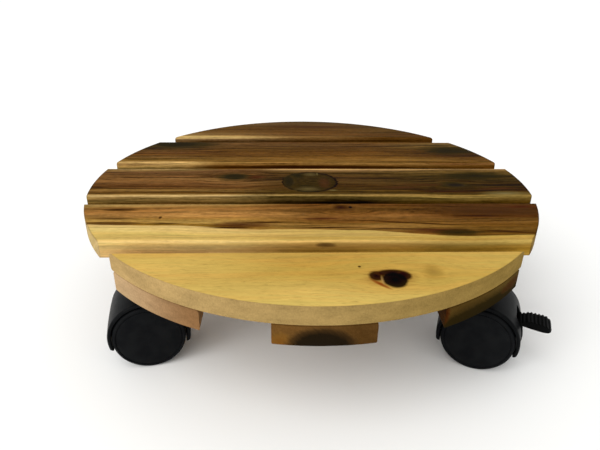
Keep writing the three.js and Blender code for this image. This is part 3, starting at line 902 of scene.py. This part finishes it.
def black_plastic(name, tint, cloud_tint, roughness):
    """Moulded black plastic with the fine matt texture of its mould and a few scuffs."""
    s = Surface(name)
    spot = s.place()
    texture = s.stretched_noise(spot, (2.6, 2.6, 2.6), 2, 0.6)
    cloud = s.stretched_noise(spot, (0.11, 0.11, 0.11), 3)
    scuff = s.between(s.stretched_noise(spot, (0.5, 0.12, 1.4), 4, 0.7), 0.62, 0.8)
    tone = s.mix(s.between(cloud, 0.3, 0.7), colour(tint), colour(cloud_tint))
    rough = s.scaled_add(s.subtract(cloud, 0.5), 0.25, roughness)
    return s.finish(
        Base_Color=s.mix(s.multiply(scuff, 0.3), tone, colour(SCUFF_TONE)),
        Roughness=s.scaled_add(scuff, 0.12, rough),
        Normal=s.bump(texture, PLASTIC_RELIEF),
        Specular_IOR_Level=PLASTIC_SPECULAR,
    )


def zinc_steel():
    """Zinc-plated steel: pale, a little cloudy, with fine rolling marks."""
    s = Surface("zinc_steel")
    spot = s.place()
    cloud = s.stretched_noise(spot, (0.35, 0.35, 0.35), 4, 0.6)
    rolling = s.stretched_noise(spot, (0.15, 3.5, 3.5), 2)
    dull, bright = STEEL_TONES
    return s.finish(
        Base_Color=s.mix(s.between(cloud, 0.3, 0.7), colour(dull), colour(bright)),
        Metallic=1.0,
        Roughness=s.scaled_add(s.subtract(cloud, 0.5), 0.3, STEEL_ROUGHNESS),
        Normal=s.bump(rolling, STEEL_RELIEF),
    )


# ---- Mesh building ----


def finished_mesh(name, bm, material, sharp_angle):
    """A mesh from a bmesh in millimetres, smooth but for edges sharper than an angle in degrees."""
    bmesh.ops.recalc_face_normals(bm, faces=bm.faces)
    bm.transform(Matrix.Scale(MM, 4))
    mesh = bpy.data.meshes.new(name)
    bm.to_mesh(mesh)
    bm.free()
    mesh.shade_smooth()
    mesh.set_sharp_from_angle(angle=radians(sharp_angle))
    mesh.materials.append(material)
    return mesh


def add_piece(name, mesh, body, replaced, place=None):
    """A piece that moves with a body and may stand for a CAD node, with its place in metres."""
    piece = bpy.data.objects.new(name, mesh)
    if place:
        piece.matrix_world = place
    bpy.context.scene.collection.objects.link(piece)
    if replaced:
        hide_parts(replaced)
    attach(piece, body)


def loft(rings, bm=None):
    """Rings of the same number of points, skinned and capped at both ends, in a bmesh."""
    if bm is None:
        bm = bmesh.new()
    rows = [[bm.verts.new(point) for point in ring] for ring in rings]
    for low, high in zip(rows, rows[1:]):
        for i, vert in enumerate(low):
            after = (i + 1) % len(low)
            bm.faces.new((vert, low[after], high[after], high[i]))
    bm.faces.new(rows[0])
    bm.faces.new(rows[-1])
    return bm


def lathe(profile, segments, turn=None, bm=None):
    """A profile of (radius, height) turned about Z, or about the Z of a matrix, in a bmesh."""
    rings = []
    for radius, height in profile:
        angles = (2 * pi * i / segments for i in range(segments))
        ring = [Vector((radius * cos(a), radius * sin(a), height)) for a in angles]
        rings.append([turn @ point for point in ring] if turn else ring)
    return loft(rings, bm)


def slab(outline, half_width):
    """An outline in the XZ plane, made thick along Y both ways."""
    return loft([[Vector((x, y, z)) for x, z in outline] for y in (-half_width, half_width)])


def arc(radius, start, end, steps):
    """Points on an arc about the origin, from one angle in degrees to another."""
    angles = [start + (end - start) * i / steps for i in range(steps + 1)]
    return [(radius * cos(radians(a)), radius * sin(radians(a))) for a in angles]


ABOUT_Y = Matrix.Rotation(-pi / 2, 4, "X")
AT_KINGPIN = Matrix.Translation((-CASTOR_TRAIL, 0, 0))


def scratch_object(bm):
    bmesh.ops.recalc_face_normals(bm, faces=bm.faces)
    mesh = bpy.data.meshes.new("scratch")
    bm.to_mesh(mesh)
    bm.free()
    piece = bpy.data.objects.new("scratch", mesh)
    bpy.context.scene.collection.objects.link(piece)
    return piece


def discard(piece):
    mesh = piece.data
    bpy.data.objects.remove(piece)
    bpy.data.meshes.remove(mesh)


def settle(piece):
    """Applies an object's modifiers and gives the result as a bmesh. The object goes."""
    depsgraph = bpy.context.evaluated_depsgraph_get()
    depsgraph.update()
    result = bmesh.new()
    result.from_object(piece, depsgraph)
    discard(piece)
    return result


def combine(first, second, operation):
    """The union, difference or intersection of two closed bmeshes. Both are used up."""
    base = scratch_object(first)
    other = scratch_object(second)
    modifier = base.modifiers.new("combine", "BOOLEAN")
    modifier.operation = operation
    modifier.object = other
    modifier.solver = "EXACT"
    result = settle(base)
    discard(other)
    return result


def moulded(bm, voxel, smoothing, keep):
    """Rounds every edge of a closed bmesh a little, as a mould does, and thins the result."""
    piece = scratch_object(bm)
    remesh = piece.modifiers.new("remesh", "REMESH")
    remesh.mode = "VOXEL"
    remesh.voxel_size = voxel
    smooth = piece.modifiers.new("smooth", "SMOOTH")
    smooth.iterations = smoothing
    smooth.factor = 0.5
    thin = piece.modifiers.new("thin", "DECIMATE")
    thin.ratio = keep
    return settle(piece)


# ---- Deck ----


def rounding(radius, depth):
    """How far an edge of that radius is drawn in, at a depth below its face."""
    if depth >= radius:
        return 0.0
    return radius - sqrt(radius * radius - (radius - depth) ** 2)


def board_outline(low, high, radius, steps):
    """A strip from low to high across a circle, as (along, across) points on its two cut ends."""
    start = degrees(asin(max(low / radius, -1.0)))
    end = degrees(asin(min(high / radius, 1.0)))
    right = arc(radius, start, end, steps)
    left = [(-along, across) for along, across in reversed(right)]
    if low <= -radius:
        left.pop()
    if high >= radius:
        left.pop(0)
    return right + left


def board_levels(base, top, edge_radius):
    """A board's levels from base to top: height, depth below the nearer face, and margin."""
    angles = [radians(a) for a in range(0, 91, 15)]
    depths = sorted({round(r * (1 - cos(a)), 3) for r in (edge_radius, CUT_BREAK) for a in angles})
    lower = [(base + depth, depth, 0.0) for depth in depths]
    upper = [(top - depth, depth, 0.0) for depth in reversed(depths)]
    return [(base, 0.0, FACE_MARGIN), *lower, *upper, (top, 0.0, FACE_MARGIN)]


def board_mesh(centre, width, base, top, edge_radius, along_x):
    """A board with rounded long edges, cut to the deck's circle with its rims a little broken."""
    low, high = centre - width / 2, centre + width / 2
    is_first = low < -DECK_RADIUS + 1
    is_last = high > DECK_RADIUS - 1
    reach = asin(min(high / DECK_RADIUS, 1.0)) - asin(max(low / DECK_RADIUS, -1.0))
    steps = max(8, round(reach / radians(ARC_STEP_DEGREES)))
    rings = []
    for height, depth, margin in board_levels(base, top, edge_radius):
        radius = DECK_RADIUS - rounding(CUT_BREAK, depth) - margin
        drawn_in = rounding(edge_radius, depth) + margin
        near = -radius if is_first else low + drawn_in
        far = radius if is_last else high - drawn_in
        outline = board_outline(near, far, radius, steps)
        pairs = outline if along_x else [(across, along) for along, across in outline]
        rings.append([Vector((x, y, height)) for x, y in pairs])
    return loft(rings)


def countersink(bm, x, y, base):
    """The hole that a slat screw leaves in the underside of a batten."""
    radius, height = SLAT_SCREW_HEAD
    profile = [
        (radius + 0.5, base - 1),
        (radius + 0.5, base),
        (radius + 0.25, base + SCREW_SINK),
        (SCREW_RADIUS + 0.3, base + SCREW_SINK + height),
        (SCREW_RADIUS + 0.3, base + 3 * height),
    ]
    lathe(profile, 32, Matrix.Translation((x, y, 0)), bm)


def slat_screw_places():
    """Where a screw joins each slat to each batten: from the frame where it has one, else halfway."""
    places = {}
    for number in range(1, 9):
        low, high = box_mm(f"slat_screw_{number}")
        places[f"slat_screw_{number}"] = ((low.x + high.x) / 2, (low.y + high.y) / 2)
    row_place = SLAT_PITCH * INNER_SCREW_SHARE
    inner = [(side * BATTEN_PITCH, row * row_place) for side in (-1, 1) for row in (-1, 1)]
    inner += [(0, -SLAT_PITCH), (0, 0), (0, SLAT_PITCH)]
    for number, place in enumerate(inner, start=9):
        places[f"slat_screw_{number}"] = place
    return places


def add_slats():
    base, top = SLAT_LOW.z, SLAT_HIGH.z
    slots = ("pale_wood", "streaked_wood", "dark_wood", "dark_wood", "dark_wood")
    for number, slot in enumerate(slots, start=1):
        name = f"deck_slat_{number}"
        centre = (number - 3) * SLAT_PITCH
        bm = board_mesh(centre, SLAT_WIDTH, base, top, SLAT_EDGE_RADIUS, True)
        material = wood(name, True, centre, top, WOOD_SEED_STEP * number)
        mesh = finished_mesh(name, bm, material, WOOD_SHARP_ANGLE)
        add_piece(f"{name}_wood", mesh, "deck", name)


def add_battens():
    base, top = BATTEN_LOW.z, BATTEN_HIGH.z
    width = BATTEN_HIGH.x - BATTEN_LOW.x
    for number, name in enumerate(("left_batten", "centre_batten", "right_batten")):
        centre = (number - 1) * BATTEN_PITCH
        holes = bmesh.new()
        for x, y in slat_screw_places().values():
            if abs(x - centre) < width / 2:
                countersink(holes, x, y, base)
        bm = board_mesh(centre, width, base, top, BATTEN_EDGE_RADIUS, False)
        bm = combine(bm, holes, "DIFFERENCE")
        material = wood(name, False, centre, top, FIRST_BATTEN_SEED + WOOD_SEED_STEP * number)
        mesh = finished_mesh(name, bm, material, WOOD_SHARP_ANGLE)
        add_piece(f"{name}_wood", mesh, "deck", name)


# ---- Screws and plates ----


def cross_recess(bm, head_base, depth, size):
    """A screw with a cross-shaped driver recess, opening downwards at head_base."""
    half = RECESS_HALF_WIDTH
    mouth = [(-size, -half), (size, -half), (size, half), (-size, half)]
    for turn in (0, pi / 2):
        blade = Matrix.Rotation(turn, 4, "Z")
        rings = []
        for share, height in ((1.0, head_base - 1), (1.0, head_base), (0.35, head_base + depth)):
            rings.append([blade @ Vector((share * x, y, height)) for x, y in mouth])
        bm = combine(bm, loft(rings), "DIFFERENCE")
    return bm


def screw_mesh(head, length):
    """A screw that points up: its head's profile, and then its shank and point."""
    tip_radius, point_length = SCREW_POINT
    return lathe(head + [(SCREW_RADIUS, length - point_length), (tip_radius, length)], 40)


def slat_screw_mesh():
    """A countersunk screw, with its head's face at SCREW_SINK."""
    radius, height = SLAT_SCREW_HEAD
    head = [
        (radius - 0.2, SCREW_SINK),
        (radius, SCREW_SINK + 0.15),
        (radius - 0.1, SCREW_SINK + 0.4),
        (SCREW_RADIUS, SCREW_SINK + height),
    ]
    return cross_recess(screw_mesh(head, SLAT_SCREW_LENGTH), SCREW_SINK, 1.6, 2.2)


def plate_screw_mesh():
    """A pan-head screw, with the underside of its head at zero."""
    radius, height = PLATE_SCREW_HEAD
    head = [
        (0.3 * radius, -height),
        (0.66 * radius, -0.96 * height),
        (0.86 * radius, -0.8 * height),
        (0.97 * radius, -0.5 * height),
        (radius, -0.12 * height),
        (radius, 0),
        (SCREW_RADIUS, 0.05),
    ]
    return cross_recess(screw_mesh(head, PLATE_SCREW_LENGTH), -height, 1.5, 2.0)


def castor_plate_mesh():
    """A pressed plate with round corners, its lower edge rolled by the press."""
    reach = (PLATE_HIGH.x - PLATE_LOW.x) / 2 - PLATE_CORNER
    thickness = PLATE_HIGH.z - PLATE_LOW.z
    levels = [
        (0, PLATE_ROLL),
        (PLATE_BREAK, PLATE_BREAK),
        (PLATE_ROLL, 0),
        (thickness - PLATE_BREAK, 0),
        (thickness, PLATE_BREAK),
    ]
    rings = []
    for height, inset in levels:
        corner = arc(PLATE_CORNER - inset, 0, 90, 8)
        corner = [Vector((reach + x, reach + y, height)) for x, y in corner]
        turns = [Matrix.Rotation(quarter * pi / 2, 4, "Z") for quarter in range(4)]
        rings.append([turn @ point for turn in turns for point in corner])
    return loft(rings)


def add_slat_screws(steel):
    mesh = finished_mesh("slat_screw", slat_screw_mesh(), steel, STEEL_SHARP_ANGLE)
    for name, (x, y) in slat_screw_places().items():
        place = Matrix.Translation(Vector((x, y, BATTEN_LOW.z)) * MM)
        place = place @ Matrix.Rotation(x + 2 * y, 4, "Z")
        replaced = name if name in frame["nodes"] else None
        add_piece(f"{name}_steel", mesh, "deck", replaced, place)


def plate_level_place(node):
    """The middle of a node, seen from above, at the height of the plates' undersides."""
    low, high = box_mm(node)
    return Vector(((low.x + high.x) / 2, (low.y + high.y) / 2, PLATE_LOW.z))


def add_plates(steel):
    plate_mesh = finished_mesh("castor_plate", castor_plate_mesh(), steel, STEEL_SHARP_ANGLE)
    screw = finished_mesh("plate_screw", plate_screw_mesh(), steel, STEEL_SHARP_ANGLE)
    for castor in CASTORS:
        name = f"{castor}_castor_plate"
        place = Matrix.Translation(plate_level_place(name) * MM)
        add_piece(f"{name}_steel", plate_mesh, "deck", name, place)
        for number in range(1, 5):
            name = f"{castor}_plate_screw_{number}"
            middle = plate_level_place(name)
            place = Matrix.Translation(middle * MM) @ Matrix.Rotation(middle.x * number, 4, "Z")
            add_piece(f"{name}_steel", screw, "deck", name, place)


def finish_steel_nodes(steel):
    """The pins and axles keep their CAD shape and get the plated finish."""
    for name, node in frame["nodes"].items():
        if name.endswith(("_kingpin", "_axle", "_brake_pin")):
            node.data.materials.clear()
            node.data.materials.append(steel)


# ---- Castor hood, in the castor's own frame: its axle along Y, its wheels trailing towards +X ----


def polar(radius, degrees, y):
    return Vector((radius * cos(radians(degrees)), y, radius * sin(radians(degrees))))


def hood_section(degrees):
    """The arch's cross-section at an angle about the axle, thinner towards either tip."""
    first, last = HOOD_TIPS
    share = min(1.0, min(degrees - first, last - degrees) / TIP_TAPER_DEGREES)
    outer = TIP_RADIUS + (HOOD_OUTER_RADIUS - TIP_RADIUS) * sqrt(share * (2 - share))
    inner = HOOD_INNER_RADIUS - 0.05
    shoulder = min(HOOD_SHOULDER, 0.7 * (outer - inner))
    half = HOOD_HALF_WIDTH - TIP_NARROWING * (1 - share) ** 2
    points = [(half - 0.3, inner), (half, inner + 0.3)]
    edge = outer - HOOD_CROWN * share - shoulder
    points += [(half - shoulder + y, edge + rise) for y, rise in arc(shoulder, 0, 90, 6)]
    points += [(0.6 * half, outer - 0.35 * HOOD_CROWN), (0.3 * half, outer - 0.08 * HOOD_CROWN)]
    mirrored = [(-y, radius) for y, radius in reversed(points)]
    return [polar(radius, degrees, y) for y, radius in points + [(0, outer)] + mirrored]


def hood_arch():
    first, last = HOOD_TIPS
    count = 96
    return loft([hood_section(first + (last - first) * i / count) for i in range(count + 1)])


def hood_web():
    """The plate between the wheels, from one tip straight across below the axle to the other."""
    first, last = HOOD_TIPS
    return slab(arc(HOOD_INNER_RADIUS + WEB_OVERLAP, first + 1, last - 1, 72), WEB_HALF_THICKNESS)


def hood_neck():
    """The round neck about the kingpin, flared where it meets the arch."""
    top = PLATE_LOW.z - NECK_GAP - AXLE_HEIGHT
    profile = [
        (0.7 * NECK_RADIUS, NECK_FOOT),
        (NECK_RADIUS, NECK_FOOT + 5),
        (NECK_RADIUS + NECK_FLARE, NECK_FLARE_HEIGHT),
        (NECK_RADIUS + 0.5, NECK_FLARE_HEIGHT + 3.5),
        (NECK_RADIUS - 0.1, NECK_FLARE_HEIGHT + 8),
        (NECK_TOP_RADIUS, top - NECK_TOP_BREAK),
        (NECK_TOP_RADIUS - NECK_TOP_BREAK, top),
    ]
    return lathe(profile, 64, AT_KINGPIN)


def wheel_spaces():
    """What the wheels need inside the hood, so that the neck's foot doesn't reach them."""
    bm = bmesh.new()
    outside = HOOD_HALF_WIDTH + 9
    for side in (-1, 1):
        faces = (side * WEB_HALF_THICKNESS, side * outside)
        lathe([(HOOD_INNER_RADIUS, y) for y in faces], 96, ABOUT_Y, bm)
    return bm


def hood_bores():
    """The bores for the kingpin, from above, and for the axle, right through."""
    top = BATTEN_LOW.z - AXLE_HEIGHT
    kingpin = [(KINGPIN_BORE, top - KINGPIN_BORE_DEPTH), (KINGPIN_BORE, top + 2)]
    bm = lathe(kingpin, 40, AT_KINGPIN)
    return lathe([(AXLE_BORE, -10), (AXLE_BORE, 10)], 40, ABOUT_Y, bm)


def ring_part(radii, half_width):
    """A stretch of a ring about the axle, over the notch's angles."""
    inner, outer = radii
    start, end = NOTCH_ANGLES
    return slab(arc(outer, start, end, 40) + arc(inner, end, start, 40), half_width)


def brake_room():
    """A notch through the arch for the brake's shoe and pedal, and a pocket in the web."""
    notch = ring_part(NOTCH_RADII, BRAKE_WIDTH / 2 + NOTCH_CLEARANCE)
    pocket = ring_part(POCKET_RADII, BRAKE_ARM_WIDTH / 2 + POCKET_CLEARANCE)
    return combine(notch, pocket, "UNION")


def hood_mesh(braked):
    bm = combine(hood_arch(), hood_web(), "UNION")
    bm = combine(bm, hood_neck(), "UNION")
    bm = combine(bm, wheel_spaces(), "DIFFERENCE")
    bm = combine(bm, hood_bores(), "DIFFERENCE")
    if braked:
        bm = combine(bm, brake_room(), "DIFFERENCE")
    return moulded(bm, voxel=0.42, smoothing=3, keep=0.25)


# ---- Wheels and brake lever, in the same frame ----


def wheel_mesh():
    """A wheel about Y, with a crowned tread, a groove round its plain face and a hollow inner side."""
    radius = AXLE_HEIGHT
    inside = WHEEL_INNER_FACE
    face = inside + WHEEL_WIDTH
    floor = face - WHEEL_WALL
    hub, rim = WHEEL_HUB_RADIUS, WHEEL_HOLLOW_RADIUS
    groove = face - WHEEL_GROOVE_DEPTH
    hub_profile = [
        (AXLE_BORE, face - 3),
        (AXLE_BORE, inside + 0.4),
        (AXLE_BORE + 0.4, inside),
        (hub - 0.4, inside),
        (hub, inside + 0.4),
    ]
    hollow_profile = [
        (hub + 0.3, floor - 0.5),
        (hub + 0.8, floor),
        (rim - 0.8, floor),
        (rim - 0.3, floor - 0.5),
        (rim, inside + 0.5),
        (rim + 0.5, inside),
    ]
    tread_profile = [
        (radius - 1.6, inside),
        (radius - 0.75, inside + 0.25),
        (radius - 0.25, inside + 0.75),
        (radius - 0.05, inside + 1.6),
        (radius, inside + 0.5 * WHEEL_WIDTH),
        (radius - 0.06, face - 2.4),
        (radius - 0.3, face - 1.4),
        (radius - 0.8, face - 0.7),
        (radius - 1.5, face - 0.35),
        (radius - 2.2, face - 0.3),
    ]
    face_profile = [
        (radius - 2.45, face - 0.45),
        (radius - 2.6, groove),
        (radius - 2.95, groove),
        (radius - 3.1, face - 0.4),
        (radius - 3.5, face - 0.22),
        (12, face - 0.05),
        (1, face),
    ]
    return lathe(hub_profile + hollow_profile + tread_profile + face_profile, 96, ABOUT_Y)


def pedal_outline():
    """The pedal from the side: hollow below, domed above, with ribs across its top."""
    root_x, root_z = PEDAL_ROOT

    def at(share, height):
        bottom = root_z - PEDAL_HOLLOW * share * (1 - share) - PEDAL_DROOP * share**2
        return (root_x + share * (PEDAL_REACH - root_x), bottom + height)

    def depth(share):
        growth = PEDAL_ROOT_SHARE + (1 - PEDAL_ROOT_SHARE) * min(1, 4 * share)
        return PEDAL_THICKNESS * growth * (1 - PEDAL_TIP_THINNING * share**7)

    outline = [at(i / 12, 0) for i in range(13)]
    for rib in range(PEDAL_RIBS, 0, -1):
        for behind, rise in ((0.0, 0.0), (0.2, 1.0), (0.55, 1.0), (0.75, 0.0)):
            share = (rib - behind) / PEDAL_RIBS
            outline.append(at(share, depth(share) + rise * PEDAL_RIB_HEIGHT))
    outline.append(at(0, depth(0)))
    return outline


def pedal_plan():
    """The pedal from above: it widens from the hood to two round corners at its far end."""
    corner = PEDAL_CORNER
    side = BRAKE_WIDTH / 2
    points = [(x, narrowing - side) for x, narrowing in PEDAL_NARROWINGS]
    for start, across in ((-90, -side + corner), (0, side - corner)):
        tip = arc(corner, start, start + 90, 6)
        points += [(PEDAL_REACH - corner + x, across + y) for x, y in tip]
    return points + [(x, side - narrowing) for x, narrowing in reversed(PEDAL_NARROWINGS)]


def brake_pedal():
    plan = loft([[Vector((x, y, z)) for x, y in pedal_plan()] for z in (-20, 20)])
    return combine(slab(pedal_outline(), BRAKE_WIDTH / 2), plan, "INTERSECT")


def brake_shoe():
    """The curved shoe outside the treads, with a lip that closes the notch below it."""
    inner, outer = SHOE_RADII
    low, high = SHOE_ANGLES
    lip = arc(SHOE_LIP_RADIUS, SHOE_LIP_ANGLE, low, 1)[0]
    outline = [lip, *arc(outer, SHOE_LIP_ANGLE, high, 20), *arc(inner, high, low, 16)]
    return slab(outline, BRAKE_WIDTH / 2)


def brake_arm():
    """The arm that carries the shoe, from the pin outwards."""
    pin_x, pin_z = BRAKE_PIN
    shoe_end = arc(SHOE_RADII[0] + 1, *BRAKE_ARM_ANGLES, 4)
    outline = [(pin_x, pin_z - BRAKE_HUB_RADIUS), *shoe_end, (pin_x, pin_z + BRAKE_HUB_RADIUS)]
    return slab(outline, BRAKE_ARM_WIDTH / 2)


def rod_about_pin(radius, half_length, segments):
    """A round rod along the brake's pin."""
    pin_x, pin_z = BRAKE_PIN
    about_pin = Matrix.Translation((pin_x, 0, pin_z)) @ ABOUT_Y
    return lathe([(radius, -half_length), (radius, half_length)], segments, about_pin)


def brake_lever_mesh():
    half = BRAKE_ARM_WIDTH / 2
    bm = combine(brake_pedal(), brake_shoe(), "UNION")
    bm = combine(bm, brake_arm(), "UNION")
    bm = combine(bm, rod_about_pin(BRAKE_HUB_RADIUS, half, 40), "UNION")
    bm = combine(bm, rod_about_pin(BRAKE_PIN_RADIUS + 0.2, half + 2, 32), "DIFFERENCE")
    return moulded(bm, voxel=0.26, smoothing=1, keep=0.3)


# ---- Castors ----


def castor_place(castor):
    """Where a castor's own frame stands at rest: its axle's middle, turned to its heading."""
    spins = [JOINTS[f"{castor}_wheel_{side}_spin"] for side in "ab"]
    middle = (Vector(spins[0]["pos_m"]) + Vector(spins[1]["pos_m"])) / 2
    axis = Vector(spins[0]["axis"])
    return Matrix.Translation(middle) @ Matrix.Rotation(atan2(-axis.x, axis.y), 4, "Z")


def add_castors(plastic, wheel_plastic, lever_plastic):
    hoods = [
        finished_mesh("hood", hood_mesh(braked), plastic, MOULDED_SHARP_ANGLE)
        for braked in (False, True)
    ]
    wheel = finished_mesh("wheel", wheel_mesh(), wheel_plastic, WHEEL_SHARP_ANGLE)
    lever = finished_mesh("lever", brake_lever_mesh(), lever_plastic, MOULDED_SHARP_ANGLE)
    turns = {"a": Matrix.Identity(4), "b": Matrix.Rotation(pi, 4, "Z")}
    for castor in CASTORS:
        place = castor_place(castor)
        braked = castor in BRAKED
        name = f"{castor}_castor_hood"
        add_piece(f"{name}_plastic", hoods[braked], f"{castor}_castor", name, place)
        for side, turn in turns.items():
            name = f"{castor}_wheel_{side}"
            add_piece(f"{name}_plastic", wheel, name, name, place @ turn)
        if braked:
            name = f"{castor}_brake_lever"
            add_piece(f"{name}_plastic", lever, f"{castor}_brake", name, place)


add_camera()
add_light()
add_floor()
add_slats()
add_battens()
steel_finish = zinc_steel()
add_slat_screws(steel_finish)
add_plates(steel_finish)
finish_steel_nodes(steel_finish)
add_castors(
    black_plastic("hood_plastic", "#08090a", "#0f1011", 0.42),
    black_plastic("wheel_plastic", "#0b0c0e", "#131415", 0.5),
    black_plastic("lever_plastic", "#040404", "#080909", 0.48),
)
